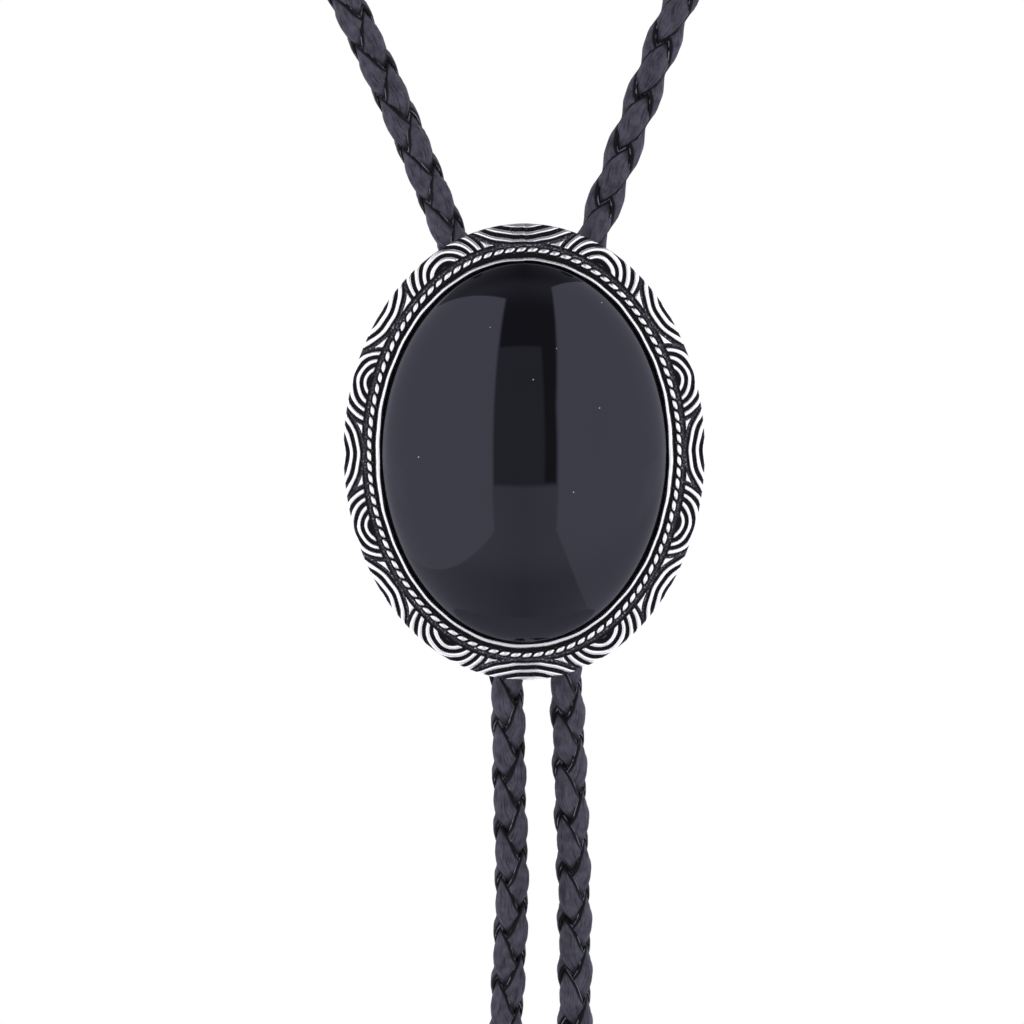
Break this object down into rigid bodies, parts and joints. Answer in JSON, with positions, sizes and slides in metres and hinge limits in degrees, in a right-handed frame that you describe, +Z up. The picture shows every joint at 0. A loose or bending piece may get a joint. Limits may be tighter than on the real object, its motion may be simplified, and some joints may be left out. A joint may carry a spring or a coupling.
{
  "type": "bolo tie",
  "caption": "Bolo tie: an oval cast slide with a domed black stone on a braided leather cord, worn as a loop, with two hanging ends and plain metal tips.",
  "frame": {"origin": "at the nape of the neck, on the side of the cord that rests on the neck", "axes": "+Z up, +X to the right seen from the front, the slide's face looks along -Y"},
  "size_m": [0.1271, 0.15, 0.283],
  "materials": {
    "cast_silver": "antiqued silver plate on cast metal, bright on the relief and black in the recesses",
    "black_stone": "polished black stone, high gloss",
    "clasp_metal": "satin plate",
    "braided_leather": "black leather laces, semi-matt, braided in four strands",
    "tip_metal": "satin plate"
  },
  "bodies": {
    "root": {"slide_frame": "cast_silver", "cabochon": "black_stone", "clasp": "clasp_metal", "neck_cord": "braided_leather", "left_end": "braided_leather", "right_end": "braided_leather", "left_tip": "tip_metal", "right_tip": "tip_metal"}
  },
  "joints": []
}
